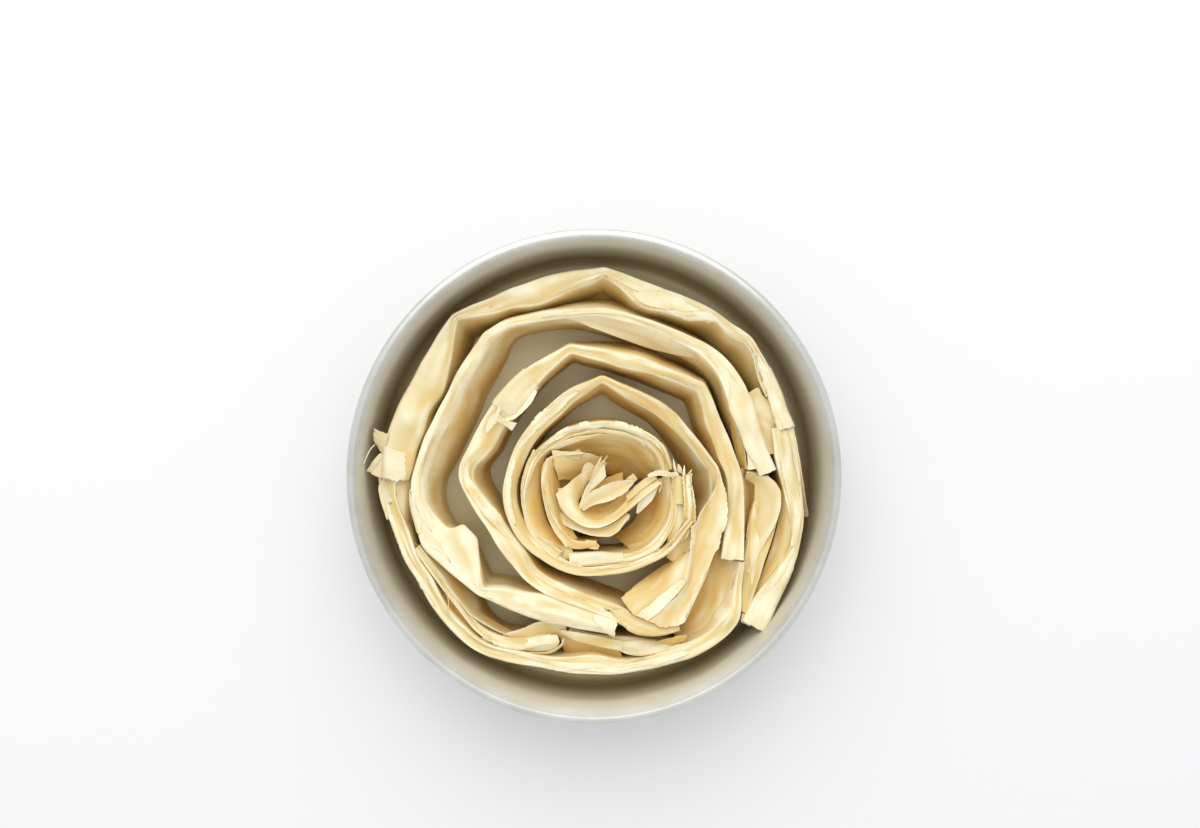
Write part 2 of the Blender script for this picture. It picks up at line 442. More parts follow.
strips["strip_second"] = {
    "height": 39, "sharp": [3, 5, 6, 11], "outer": 0.2, "belly": 0.68, "crumple": 0.55, "tone": 1,
    "sliversTo": 320,
    "inner": [0.45, 0.45, 0.4, 0.1, 0.06, 0.06, 0.06, 0.1, 0.4, 0.48, 0.48, 0.3, 0.2, 0.15, 0.1, 0.1,
              0.08, 0.05, 0.05, 0.05],
    "corners": [
        [9.5, -79.5, 9, 2, -2, 0, -1.2], [-22, -73.5, 14, 1, -2, -1.5, -1.8],
        [-42, -66.5, 10.5, 2, -2, -1, -0.8], [-57, -59.5, 3.5, 4, -2, -0.5, 0],
        [-66.5, -52.5, 14, -1, -2, -3, -1], [-72.5, -47.3, 21, -5, -1.5, -4, -1.6],
        [-80.5, -40, 22, -5, -1, -3.5, -1.6], [-86, -34, 13.5, 1, -1, -2.5, -1],
        [-91.5, -10, 6, 6, 0, -2, -0.8], [-87, 12, 6, 11, 0, -4, -1], [-67, 53, 6, 10, 0, -4, -1],
        [-55, 70.5, 5, 9, 0, -2, -0.5], [-42, 77.5, 4, 3, 2, -1, -0.4], [-14, 82, 4, 2, 7, -1, -0.4],
        [8, 82.5, 4, 8, 9, -1, -0.2], [32, 75.5, 4, 10, 6, -1, -0.2], [63, 61.5, 6, 6, 3, -1, 0],
        [77, 41, 11.5, 3, 0, -0.6, 0.6], [84.5, 14.5, 9.5, 3, 0, -0.6, 0.4], [87.2, 8, 8, 3, 0, -0.6, 0]],
    "layers": [
        [-0.5, 12, 1.9, 1.9, 4.6, 5, 0.5, 0.5, 1, 0.2],
        [360, 412, 1.95, 1.95, 4.02, 4.05, 0.4, 0.3, 0.9, 0.35],
        [112, 136, 1.5, 1.8, 2.9, 2.3, 0.5, 0.8, 1, 0], [300, 345, 4.1, 4.3, 5, 5.2, 0.3, 0.3, 0.5, 0.3]],
    "leaves": [
        [0.3, 0.8, 0.7, [[-16, 78, 38.3], [8, 78.5, 38.3], [32, 71.5, 38.3], [60, 58.5, 38]],
         [[-8, 76, 36], [10, 74, 34], [31, 67, 34], [59, 58, 36]],
         [[-2, 74, 34], [19, 66.5, 28], [31, 62, 27], [56, 56.5, 31]]],
        [0.2, 1, 0.4, [[75.3, 16, 35], [76.4, 9, 35.5], [76.3, 2.4, 35.5]],
         [[77, 13, 36.5], [79, 8, 37], [81.5, 3.2, 37]]],
        [0.3, 0.35, 0, [[73.5, 22, 36], [75, 12, 36], [76, 2.8, 36]],
         [[68.5, 25, 27], [70.5, 14, 26], [73.5, 2.4, 27]]]]}
strips["strip_right_fold"] = {
    "height": 36, "bend": 9, "outer": 0.08, "inner": 0.2, "valley": 0.4, "belly": 0.5, "crumple": 0.45,
    "tone": 0.4,
    "corners": [
        [75.5, 1.2, 3, 2, -1, -2, 0], [85, 0, 7, 3, -1, -4, 0], [92.5, -8, 13, 1, -1, -4, 1.5],
        [92, -22, 13, 1, -1, -2, 1.5], [85, -42, 11, 1, -1, -2, 0.4], [76.5, -69, 4, 1, -1, -1, 0]],
    "leaves": [
        [0.3, 0.5, 0, [[93.5, -5, 36.5], [97.5, -22, 37], [96.5, -36, 37], [79, -71, 36]],
         [[92.5, -10, 30], [92.5, -24, 30], [87, -42, 30], [77, -68, 31]]],
        [0.3, [0.8, 0.35, 0.2], 0.35,
         [[86, -0.4, 37.2], [91, -4.6, 37.6], [92.8, -10, 37.6], [92.4, -17, 37.5], [90, -24, 37.2],
          [84, -35, 36.8], [77, -49, 36]],
         [[81.5, -0.6, 36.8], [85.5, -5, 36.6], [86.6, -11.5, 36], [85, -19.5, 35.6],
          [82.8, -28.5, 35.5], [79.6, -37, 35.5], [75.4, -48.5, 35.2]],
         [[77.5, -0.4, 35], [80, -5, 33.5], [80, -13.7, 32.5], [77, -23, 32], [75.6, -34, 32],
          [74.6, -41, 32.5], [73.6, -48, 33]]],
        [0.3, 0.5, 0, [[73.5, 3, 34], [74.5, -10, 33], [74.5, -24, 32], [73, -40, 31]],
         [[78, 2, 28], [79, -10, 24], [78, -24, 22], [75, -40, 24]],
         [[83, 0, 30], [84, -10, 26], [81, -24, 24], [77, -40, 26]]]]}
strips["strip_third"] = {
    "height": 39, "sharp": [8, 11, 14], "outer": 0.12, "inner": 0.16, "crumple": 0.6, "tone": 0.68,
    "sliversTo": 170,
    "corners": [
        [42, -77, 3, 1, -2, -1, 0], [31, -79.6, 7, 1, -2, -3, 0], [20, -77.6, 8, 2, -2, -2, 0],
        [8, -70.5, 6, 4, -2, -3, -0.3], [-10, -64, 6, 5, -2, -3, -0.3], [-31, -56.5, 7, 3, -1, -3, 0.2],
        [-50, -31.5, 9, 2, 0, -4, 0.2], [-69, -0.5, 5, 6, 0, -2, -0.5], [-60, 18, 10, 4, 0, -4.5, -1.2],
        [-52, 32.5, 11, 3, 0, -3.5, -1.2], [-38.5, 50.5, 11, 1, 0, -1, -0.5],
        [-12, 64.5, 4, 3, 3, -0.5, 0], [18, 60, 7.5, 3, 8, -1, -0.4], [36, 53, 4.5, 6, 7, -2, 0],
        [54.5, 45.5, 5, 6, 3, -3, 0], [66, 21, 8, 5, 0, -4.5, 0], [74.5, -3, 8, 4, 0, -3.5, 0.6],
        [74.5, -24, 8, 4, 0, -3, 0.6], [74, -42, 11, 1, 0, -2.5, -0.5]],
    "layers": [
        [-0.5, 40, 1.9, 2, 4.1, 4.05, 0.4, 1.1, 0.4, 0.1],
        [186, 209, 1.5, 1.5, 4.2, 4.2, 0.3, 0.5, 0.7, 0.6],
        [172, 187, 2, 2.3, 3.6, 3.2, 0.45, 0.8, 1, 0.1],
        [104, 154, 2.9, 2.2, 4.2, 3.6, 0.35, 0.3, 0.9, 0]],
    "leaves": [
        [0.4, 1, 0, [[-46, 26.5, 38.7], [-38, 28, 39.2], [-30.5, 36, 39.2], [-28, 41, 38.7]],
         [[-46, 27.5, 36], [-39.5, 31, 36.5], [-33, 38, 36.5], [-30, 42.5, 36]]],
        [0.7, 0.9, 0, [[-50, 33, 38.8], [-44, 27.5, 38.6], [-38, 25.5, 37.8]],
         [[-51, 29, 38], [-46, 25.5, 37.5], [-41, 22, 36.5]]]]}
strips["strip_fourth"] = {
    "height": 38, "sharp": [9, 12], "inner": 0.12, "crumple": 0.6, "tone": 0.55, "sliversTo": 150,
    "corners": [
        [49, -23, 2, 1, 2, 0, 0], [38, -38, 3, 1, 4, -1, 0], [14, -49.5, 4, 0.5, 3, -1, 0],
        [-15, -49.5, 4, 1, 0, -1, -0.3], [-38, -33, 7, 1, 0, -3, -0.6], [-46, -12, 7, 1, 0, -3.5, -0.8],
        [-42, 8, 7, 1, 0, -3.5, -0.5], [-35, 22, 7, 2, 0, -3, 0.4], [-14, 42.5, 7, 2, 0, -3, 0.4],
        [4, 49.5, 4, 4, 1, -1, 0], [20, 42.5, 6, 5, 1, -3.5, 0], [37, 34.5, 6, 5, 0, -4, 0],
        [61.5, 4, 4, 11, 0, -3, 0], [65, -12, 7, 7, 0, -3.5, 4], [65.5, -20, 13, 2, 0, -3.5, 6],
        [58, -44, 11, 1, 0, -3.5, 6], [50, -60, 16, 1, 0, -7, 5], [44.5, -73.5, 26, 1, 0, -10, 2.5]],
    "layers": [
        [110, 150, 2, 2.3, 3, 2.7, 0.35, 0.5, 1, 0], [152, 196, 1.9, 2.2, 3.1, 3.6, 0.35, 0.6, 1, 0]],
    "leaves": [
        [0.5, [0.9, 0.6, 0.35, 0.25], 0,
         [[48, -37, 39], [47, -47, 39], [45, -56.3, 39.1], [35.8, -63.8, 39.2], [27.6, -71.5, 39.6]],
         [[45.8, -39, 35.6], [42, -47, 36], [37.5, -55.3, 36.8], [30.5, -61.5, 38.3], [23, -70.4, 39.5]],
         [[44.3, -40, 31], [36, -47.3, 32], [29.5, -54, 34.5], [24, -60, 37], [18.5, -68.4, 39.2]],
         [[42, -40.5, 26], [30.6, -48.8, 26.5], [21, -55.5, 31], [15.6, -59.3, 35.5], [13.4, -61, 37]]],
        [0.9, [0.9, 0.6, 0.45, 0.9], 0,
         [[62.2, 1.4, 38.6], [65.6, -10, 38.6], [66.4, -20, 38.8], [62.5, -33, 38.6], [56, -47, 38.4],
          [50.5, -58.5, 38.2], [46.4, -67, 38.6], [43.8, -73.2, 39.4]],
         [[61.9, 1.2, 38.2], [62.6, -11, 37.8], [60.5, -22, 37.6], [57.8, -33, 37.2], [53, -46.5, 37.2],
          [48.6, -58, 37.6], [43, -67, 39], [38.6, -75.2, 40.2]],
         [[61.6, 1, 38], [60.8, -9.5, 37.8], [54.5, -21.5, 35.8], [51, -33, 34.6], [49.4, -45, 35.4],
          [46.6, -57, 37], [39, -66, 39.3], [32.6, -74.8, 40.2]],
         [[61.3, 0.8, 38.6], [59.6, -8.1, 39.2], [51.2, -20.3, 39.6], [47, -27.5, 39.8],
          [47.6, -44, 39.8], [44.8, -56.5, 39.9], [35, -64.3, 39.9], [26, -72, 40]]],
        [0.4, 1.1, 0, [[45.3, -52.5, 40.6], [40.6, -59.2, 41], [32.4, -67, 41], [26.4, -72, 40.6]],
         [[43.4, -51.5, 39.4], [34.4, -58, 39.9], [26.6, -64.6, 40.2], [20.6, -69, 40.2]]],
        [0.3, [0.4, 0.5, 0.2], 0, [[39.3, -0.5, 36.5], [39.5, -14.5, 36]],
         [[41.8, -0.5, 38.4], [42, -14.5, 37.8]], [[43.8, -0.8, 37], [43.9, -14.5, 36.6]]],
        [0.5, [0.3, 0.7, 0.4], 0, [[38.6, -6, 34], [38.6, -14, 35.4], [36.8, -26, 34.5], [36.5, -42, 29]],
         [[42, -6, 35], [42.3, -14, 36], [42, -26, 36.4], [41.5, -45, 30]],
         [[46, -6, 34], [46.2, -14, 35], [47.8, -26, 35.5], [49, -42, 31]]],
        [0.9, [0.9, 0.3, 1, 0.3, 0.9], 0,
         [[43.7, 0.3, 38], [44.2, -10, 38.2], [44.4, -20, 37.8], [43.6, -33, 36.4]],
         [[45.1, 0, 35.6], [45.7, -10, 36.2], [46, -20, 36], [45, -33, 35]],
         [[46.5, 0.2, 38.3], [47.2, -10, 38.4], [47.7, -19, 38.2], [46.6, -31, 36.6]],
         [[47.5, 0, 35.4], [48.5, -10, 35.8], [49.3, -19, 35.6], [48, -29, 35]],
         [[48.2, 0.8, 38.2], [49.3, -9, 38.2], [50.8, -20, 37.8], [49.6, -26, 36.6]]],
        [0.1, 1, 0, [[45.2, -4, 36.5], [45.4, -0.5, 37.5], [48.3, 2.8, 38]],
         [[46.2, -4, 35.5], [46.9, -0.8, 36.5], [48.5, 2.5, 37.8]]],
        [0.1, 0.9, 0, [[40, 1, 37], [39.2, 4.5, 38], [39, 8, 38.3]],
         [[41.2, 1, 37], [40.3, 4.5, 38], [39.3, 7.9, 38.3]]],
        [0.3, 0.8, 0.4, [[41.6, 1, 37], [41.3, 3.5, 38], [41.4, 5.6, 38]],
         [[43.6, 0.8, 37], [43.4, 3, 38], [42.2, 5.2, 38]]],
        [0.1, 0.9, 0, [[43.5, 0, 37], [44, 2.5, 38], [44.5, 5, 38]],
         [[45.2, 0, 37], [45.1, 2.2, 38], [44.8, 4.8, 38]]]]}
strips["strip_flap"] = {
    "height": 36, "bend": 10, "inner": 0.2, "crumple": 0.4, "tone": 0.55,
    "corners": [
        [41, 0, 2, 6, 0, -1, 0], [41.5, -22, 3, 12, 0, -1, 0], [33, -37.5, 4, 7, 1, -1, 0],
        [18, -44.5, 5, 2, 0, -1, 0], [-12.5, -45.5, 6, 1, 0, 0, 0]],
    "layers": [[57, 86.5, 2.6, 2.05, 4.4, 4.6, 0.5, 0.2, 0.9, 0.8]],
    "leaves": [
        [0.5, 1, 0, [[19.5, -38, 36], [25, -38, 35.5], [33, -36.5, 35]],
         [[21, -39, 33], [25, -42, 33.5], [30, -39, 34]]],
        [0.6, [0.6, 0.2, 0], 0,
         [[37, 1, 35], [40, -12, 35], [38.5, -25, 34.5], [30, -36, 32], [19, -40, 26]],
         [[32, -3, 28], [34, -13, 28], [31, -25, 28], [25, -32, 26], [16, -36, 20]],
         [[26, -7, 17], [25, -15, 15], [21, -24, 14], [15, -29, 12], [9, -33, 10]]],
        [0.5, 0.1, 0, [[17, -34.5, 22], [24, -33, 27], [33, -34, 31]],
         [[15, -37, 18], [24, -38, 22], [32, -38, 28]]]]}
strips["strip_fifth"] = {
    "height": 37, "inner": 0.16, "belly": 0.65, "crumple": 0.4, "tone": 0.5,
    "corners": [
        [-18, -40.5, 3, 4, -1, -1, -0.4], [-33, -30, 2.5, 8, -1, -1, 0], [-36.5, -10, 2, 9, 0, -1, 0],
        [-32, 11, 3.5, 6, 0, -1, 0.4], [-12, 25, 5, 4, 1, -2, 1], [12, 27, 5, 9, 2, -2, 0.6],
        [34, 17, 4, 12, 0, -2, 0], [38.5, 2.5, 4, 10, 0, -2, 0]],
    "layers": [
        [64, 104, 1.9, 2.1, 3, 3.4, 0.5, 0.6, 1, 0], [90, 140, 1.9, 2.2, 2.9, 3, 0.6, 0.6, 1, 0],
        [84, 128, 3.2, 3.5, 4.4, 4.6, 0.4, 0.5, 0.8, 0]],
    "leaves": [
        [0.9, 1, 0, [[26.3, -0.1, 37], [30, 2.3, 38], [35, 2.3, 38.6], [41.6, 1, 38.8]],
         [[27, -0.9, 36.8], [31, -0.6, 38], [36, -0.7, 38.2], [41.8, -0.6, 38.4]]],
        [0.4, [0.8, 0.3, 0], 0,
         [[-30, 13, 37.3], [-35.6, 0, 37.5], [-36.4, -12, 37.4], [-33, -28, 37], [-24, -37.3, 36.4],
          [-17, -40.8, 36]],
         [[-28, 10.5, 36], [-31.5, 0, 35], [-32.2, -12, 34.8], [-29.5, -26, 34.8], [-21.5, -34.5, 35],
          [-15.8, -38.8, 35]],
         [[-25, 8, 30], [-26.4, 0, 26], [-26.6, -12, 25], [-24, -24, 26], [-17.5, -31.5, 28],
          [-13.6, -36, 30]]],
        [0.3, 0.6, 0, [[-20, -35, 32], [-11, -36, 32]], [[-19, -41.5, 33], [-10, -42.5, 33]]],
        [0.5, [0.6, 0.2, 0.1], 0,
         [[-21, 14.5, 34], [-8, 19, 34.5], [8, 20.5, 34.5], [22, 17, 34.5], [34, 8, 34]],
         [[-16, 11, 28], [-4, 14, 26], [9, 14.5, 25], [21, 11, 25], [31, 4, 28]],
         [[-9, 3, 20], [2, 2, 12], [10, -2, 8], [17, -4, 8], [26, -3, 14]]],
        [0.3, [1, 0.5], 0, [[-22, 13, 36], [-12, 18.5, 36.3], [4, 20.6, 36]],
         [[-21, 11.6, 34], [-12, 15.3, 34.4], [3, 19.9, 35.8]]],
        [0.1, 0.9, 0, [[32.5, -1.5, 35], [34.2, -4, 36], [32.8, -8.5, 35]],
         [[33, -2.5, 33], [33.6, -4.5, 34], [32.4, -7.5, 33]]]]}
strips["strip_sixth"] = {
    "height": 35, "bend": 9, "outer": 0.12, "inner": 0.2, "crumple": 0.4, "tone": 0.4,
    "corners": [
        [1.5, -36, 3, 1, 0, -1, -0.8], [-13, -38, 4, 2, -1, -1, -0.4], [-22, -24, 2.5, 5, -1, -1, 0],
        [-27, -5, 2.5, 8, 0, -2, 0], [-24, 9.5, 4, 8, 0, -3, 0], [-6, 11, 2, 3, 0, -2, 0]],
    "layers": [[30, 70, 3.2, 3, 4.6, 4.2, 0.4, 0.4, 0.5, 0]],
    "leaves": [
        [0.4, [0.7, 0.2, 0], 0,
         [[-23.8, 8.5, 35.4], [-26.6, -2, 35.6], [-25.4, -14, 35.5], [-21.4, -26, 35], [-14, -36.5, 34.6]],
         [[-21, 8, 34], [-22.8, -3, 33.4], [-22, -14, 33.2], [-18.5, -25, 33.2], [-12, -34.5, 33.4]],
         [[-18, 8, 28], [-17.6, -4, 26], [-16.8, -14, 26], [-14, -24, 27], [-8.5, -32, 29]]],
        [0.4, [0.9, 0.35, 0.1], 0, [[-21, 12, 35.5], [-12, 11.6, 35], [-3, 11, 33], [4, 8, 29]],
         [[-20, 6, 34], [-12, 5.5, 32], [-4, 4, 28], [2, 2, 24]],
         [[-18, -3, 29], [-12, -3, 26], [-6, -4, 21], [-2, -5, 17]]],
        [0.4, 0.1, 0, [[-22, 6, 31], [-15, 3, 27], [-9, 3, 24]],
         [[-21, -4, 27], [-16, -6, 22], [-11, -5, 18]], [[-20, -12, 24], [-16, -14, 20], [-13, -14, 16]]],
        [0.4, 0.5, 0, [[-4, -32.5, 33], [0, -33, 34.5], [2.5, -35, 34]],
         [[-4, -36, 33.5], [-0.5, -37.5, 35], [2, -37, 34]]]]}
strips["curl_middle"] = {
    "height": 31, "bend": 10, "inner": 0.3, "belly": 0.5, "crumple": 0.3, "tone": 0.55,
    "corners": [
        [32.5, -3, 3, 1, 0, -2, 0], [18, -18, 3, 3, 0, -2, 0], [5, -26, 3, 4, 0, -3, 0],
        [-7, -25.5, 4, 5, 0, -4, 0], [-18, -17, 6, 4, 0, -4, -0.3], [-18, -7, 7, 2, 0, -3, 0]],
    "leaves": [
        [0.4, [1, 0.7, 0.3], 0,
         [[-19.2, -9.8, 34], [-17, -15.5, 34.5], [-12.8, -21.3, 35], [-5, -26.2, 35], [3, -26.6, 34.5],
          [10.5, -23, 34.5], [18.3, -16.3, 35], [28.4, -8.3, 35.5], [33.4, -4.3, 36]],
         [[-10.5, -2, 35], [-12, -12, 34], [-10.5, -18, 33.5], [-5, -23.8, 33.5], [2.4, -25.4, 33.5],
          [9.3, -22.3, 33.5], [17, -15.4, 34.4], [25.4, -7, 35], [32.4, -3.3, 35.5]],
         [[0.2, 4.6, 33], [-6, -8, 30], [-8, -14, 29], [-5, -21, 29], [1.5, -23.8, 29.5], [8, -21.3, 30],
          [15.5, -14.3, 32], [22.4, -5.8, 33], [31.4, -2.3, 34]]],
        [0.3, 0.2, 0, [[-9, -17, 28.5], [-1, -24.4, 29.3], [11, -22.5, 29.6], [20, -11, 30]],
         [[-5, -11, 20], [2, -15, 18], [9, -13, 18], [15, -6, 20]]],
        [0.5, 0.6, 0, [[16, -13, 35], [23, -7, 35.5], [31, -1.5, 36]],
         [[16, -10.5, 30], [22, -4.5, 31], [29, 0, 32]]],
        [0.25, 0.8, 0.6, [[20.9, -19.2, 32], [21.8, -14, 33], [27, -8, 34.3], [32, -4.3, 35]],
         [[22, -19.6, 31.5], [25.8, -16, 32.5], [29.4, -12.5, 33.4], [32.2, -5.5, 34.6]]]]}
strips["curl_lower"] = {
    "height": 30, "bend": 8, "inner": 0.25, "belly": 0.5, "crumple": 0.3, "tone": 0.75,
    "corners": [
        [18, -20.5, 2, 1, 0, -1, 0], [8, -31, 3, 2, 0, -1, 0], [-6, -30, 3, 2, 0, -1, 0],
        [-19, -22, 2, 1, 0, -1, 0]],
    "leaves": [
        [0.3, [1.1, 0.5], 0,
         [[-19, -22.2, 31], [-13.8, -25.9, 31.5], [-5.8, -29.4, 31.8], [2, -31.2, 31.8],
          [8, -31.2, 31.8], [12.6, -28.2, 32], [17.6, -21, 33]],
         [[-17, -18.5, 29.5], [-12, -22.5, 30], [-5, -26, 30.5], [2, -27, 30.5], [7, -26, 30.5],
          [11, -23.5, 31], [16.8, -19.5, 32]]]]}
strips["leaf_left"] = {
    "height": 27, "bend": 6, "outer": 0.12, "inner": 0.25, "belly": 0.5, "crumple": 0.2, "tone": 0.7,
    "corners": [
        [-8, -11, 2, 1, 0, -1, 0], [-3, 0, 3, 1, 0, -1, 0], [5, 7, 2, 1, 0, -1, 0]],
    "leaves": [
        [0.2, 0.8, 0.8, [[-9, -13, 28], [-7.5, -2, 31], [-5, 5.5, 32], [-2, 6, 33]],
         [[-7.5, -13, 28], [-5, -6, 30], [-1.5, -0.5, 31], [0.3, 4, 32]]],
        [0.2, 1, 0, [[-8, -17, 30], [-5.2, -8, 31.5], [0, 0, 33], [5, 5.5, 34.5]],
         [[-5.6, -17, 29.5], [-2.4, -8.6, 31], [3, -4, 32], [6, -1, 32.5]]],
        [0.15, 0.9, 0, [[-5.5, -10, 31], [-1.5, -1, 34], [6.3, 9.8, 35.5]],
         [[-5, -9.5, 29], [0, -1, 32.5], [6, 9.3, 35]]],
        [0.15, 1, 0, [[-3, -3, 31], [0, 3, 33.5], [3.5, 9.5, 34.5]],
         [[-1.5, -4, 30], [1.5, 2, 33], [3.8, 9, 34.3]]]]}
strips["leaf_right"] = {
    "height": 25, "bend": 6, "outer": 0.12, "inner": 0.25, "belly": 0.5, "crumple": 0.2, "tone": 0.7,
    "corners": [
        [16, -5, 2, 1, 0, -1, 0], [6, -13, 4, 1, 0, -1, 0], [-3, -12, 3, 1, 0, -1, 0]],
    "leaves": [
        [0.5, [1.1, 0.3, 1], 0.3,
         [[-6.6, -15, 31], [-2.8, -9.6, 32], [5.5, -4.6, 32.5], [13, -3, 33], [19.6, -2.6, 33.5]],
         [[-6.3, -17, 30.5], [0, -12.6, 30.6], [8, -9.5, 31], [14, -6, 31.6], [20, -3.6, 33]],
         [[-5.6, -18.6, 30.2], [0, -15, 30.4], [8.5, -13.4, 31], [15.5, -9.3, 32], [19.5, -4.6, 32.8]]],
        [0.4, 0.4, 0, [[-4, -9, 24], [4, -3, 25], [14, 1, 26]], [[-2, -12, 22], [5, -7, 23], [15, -3, 24]]],
        [0.6, 0.9, 0, [[14, -5, 31.5], [17, -1.5, 32.5], [19, 0.8, 33]],
         [[15, -7, 31], [19, -4.5, 31.5], [22, -2.5, 32]]]]}


# What a strip's skin is worked out from: its corners with the inward mitre put in after x and
# y, so that a line offset along it keeps its distance from both runs; where each corner lies
# along the strip; and the share of each run that the bends take up, less than half of it.
def strideOf(strip):
    corners = np.array(strip["corners"], float)
    steps = np.diff(corners[:, :2], axis=0)
    lengths = np.linalg.norm(steps, axis=1)
    inward = np.stack([steps[:, 1], -steps[:, 0]], 1) / lengths[:, None]
    number = np.arange(len(corners))
    after = inward[np.minimum(number, len(inward) - 1)]
    middle = inward[np.maximum(number - 1, 0)] + after
    middle /= np.linalg.norm(middle, axis=1)[:, None]
    middle /= np.maximum((middle * after).sum(1), 0.5)[:, None]
    bend = np.array([paper["sharpBend"] if i in strip["sharp"] else strip["bend"] for i in number])
    softness = np.stack([strip["outer"] + 0 * number, strip["inner"] + 0 * number], 1)
    return {"rows": np.hstack([corners[:, :2], middle, corners[:, 2:], softness]),
            "starts": np.append(0, np.cumsum(lengths)),
            "before": np.minimum(bend / np.append(1e9, lengths), 0.45),
            "after": np.minimum(bend / np.append(lengths, 1e9), 0.45)}


# How the section bends: how much of the outer foot's reach is left halfway up, how high the
# inner face's middle point lies, and the shares of the runs that its bends take up. A ridge's
# softness counts in full towards the valley, and as faceSide or innerSide towards its face.
section = {"halfway": 0.4, "bellyAbove": 0.55, "faceBend": 0.5, "valleyBend": 0.45, "faceSide": 0.3,
           "innerSide": 0.4}


# Points of a strip's skin on a grid of distances along it and section places. The section runs
# up the outer face, over the outer ridge, through the valley, over the inner ridge and down the
# inner face: seven points (inward, up) whose corners are rounded. Past the ends of the strip it
# goes straight on. jag moves the places across, in mm.
def skin(strip, stride, along, place, jag, seed):
    def drift(kind, step):
        much, length = paper["drift"][kind]
        return much * noise(seed + step, flat / length)

    shape = along.shape
    flat = np.clip(along.ravel(), 0, stride["starts"][-1])
    beyond = along.ravel() - flat
    number = np.interp(flat, stride["starts"], np.arange(len(stride["rows"])))
    value = roundedLine(stride["rows"], number, stride["before"], stride["after"])
    x, y, inX, inY, band, reach, out, tip, groove, outer, inner = value.T
    wave, (waveX, waveY) = paper["wave"], paper["wave"]["direction"]
    rise = wave["height"] * np.sin((x * waveX + y * waveY) / wave["length"] * 2 * np.pi)
    height = strip["height"] + rise + drift("height", 5)
    band = band * (1 + drift("band", 6))
    low = np.full_like(height, paper["floor"])
    valley, belly, above = strip["valley"], strip["belly"], section["bellyAbove"]
    inward = np.stack([-out, -out * section["halfway"] - paper["faceBulge"], 0 * out, band * valley, band,
                       band + reach * belly, band + reach], 1)
    up = np.stack([low, (low + height) / 2, height, height + tip * valley - groove, height + tip,
                   (1 - above) * low + above * (height + tip), low], 1)
    controls = np.stack([inward, up], -1)
    runs = np.linalg.norm(np.diff(controls, axis=1), axis=-1)
    at = np.clip(place.ravel(), 0, 6)
    at = np.clip(at + jag.ravel() / runs[np.arange(len(at)), np.minimum(at.astype(int), 5)], 0, 6)
    none, face, bottom = (0 * outer + share for share in (0, section["faceBend"], section["valleyBend"]))
    before = np.stack([none, face, outer * section["faceSide"], bottom, inner, face, none], 1)
    after = np.stack([none, face, outer, bottom, inner * section["innerSide"], face, none], 1)
    places = roundedLine(controls, at, before, after)
    inside = places[:, 0] + drift("inside", 9)
    size = np.hypot(inX, inY)
    return np.stack([x + inX * inside - inY * beyond / size, y + inY * inside + inX * beyond / size,
                     places[:, 1]], 1).reshape(*shape, 3)


# The unit normals of a grid of points, from its steps both ways.
def gridNormals(points):
    normal = np.cross(np.gradient(points, axis=0), np.gradient(points, axis=1))
    return normal / np.maximum(np.linalg.norm(normal, axis=-1), 1e-9)[..., None]


# Distances over a grid of points, along its rows' middle line and across each row, as (u, v).
def gridLengths(points):
    middle = points[:, points.shape[1] // 2]
    down = np.append(0, np.cumsum(np.linalg.norm(np.diff(middle, axis=0), axis=1)))
    across = np.linalg.norm(np.diff(points, axis=1), axis=2)
    across = np.concatenate([np.zeros((len(points), 1)), np.cumsum(across, axis=1)], 1)
    return np.stack([np.broadcast_to(down[:, None], across.shape), across], -1)


# Papery lines: crests where smooth noise passes through nothing, 0.4 less its size.
def papery(seed, *coordinates):
    return 0.4 - np.abs(noise(seed, *coordinates))


# What crumples a leaf: flat facets that run with it, soft dents, papery lines and fine wrinkles.
# Each has its shape, its height, and its lengths along the leaf and across it, in mm. They fade
# out over the lowest clearHeight above the floor.
creases = {"facets": (folds, 0.9, 75, 13), "dents": (noise, 0.25, 40, 18), "lines": (papery, 0.12, 70, 9),
           "wrinkles": (folds, 0.05, 14, 4)}
clearHeight = 10


# Moves a grid of points along its normals by an amount times the sum of the creases over its
# lengths (u, v). The feet stay put, and nothing goes below the floor.
def crumple(points, lengths, amount, seed):
    total = 0
    for i, (shape, height, along, across) in enumerate(creases.values()):
        total = total + height * shape(seed + i, lengths[..., 0] / along, lengths[..., 1] / across)
    clear = np.clip((points[..., 2] - paper["floor"]) / clearHeight, 0, 1)
    moved = points + gridNormals(points) * (amount * total * clear)[..., None]
    moved[..., 2] = np.maximum(moved[..., 2], paper["floor"])
    return moved


# How a leaf's tone deepens down the faces, from full at the height high to foot times as much at
# low, and the patches that change it, with their lengths along and across the leaf.
shading = {"low": 12, "high": 38, "curve": 1.5, "foot": 0.6, "patches": 0.2, "long": 30, "wide": 9}


# One part of a strip's mesh: its points, and at each point the flat place on the leaf, the tone,
# which is tone * (foot + (1 - foot) * depth) + patches, and the veil. The flat places start
# anywhere within 40 units, so that no two leaves share their grain.
def leafPart(points, lengths, tone, veil, seed):
    start = np.random.default_rng(seed).uniform(0, 40, 2)
    depth = (points[..., 2] - shading["low"]) / (shading["high"] - shading["low"])
    depth = np.clip(depth, 0, 1) ** shading["curve"]
    patches = noise(seed + 1, lengths[..., 0] / shading["long"], lengths[..., 1] / shading["wide"])
    shade = tone * (shading["foot"] + (1 - shading["foot"]) * depth) + shading["patches"] * patches
    return {"points": points, "faces": gridFaces(*points.shape[:2]), "uv": lengths / leafUnit + start,
            "tone": np.clip(shade, 0, 1), "veil": np.full(shade.shape, float(veil))}


# A torn edge: straight runs of a few millimetres with finer teeth, from about -1 to 1.
def torn(seed, distance):
    return 0.6 * folds(seed, distance / 10) + 0.4 * folds(seed + 1, distance / 2.6)


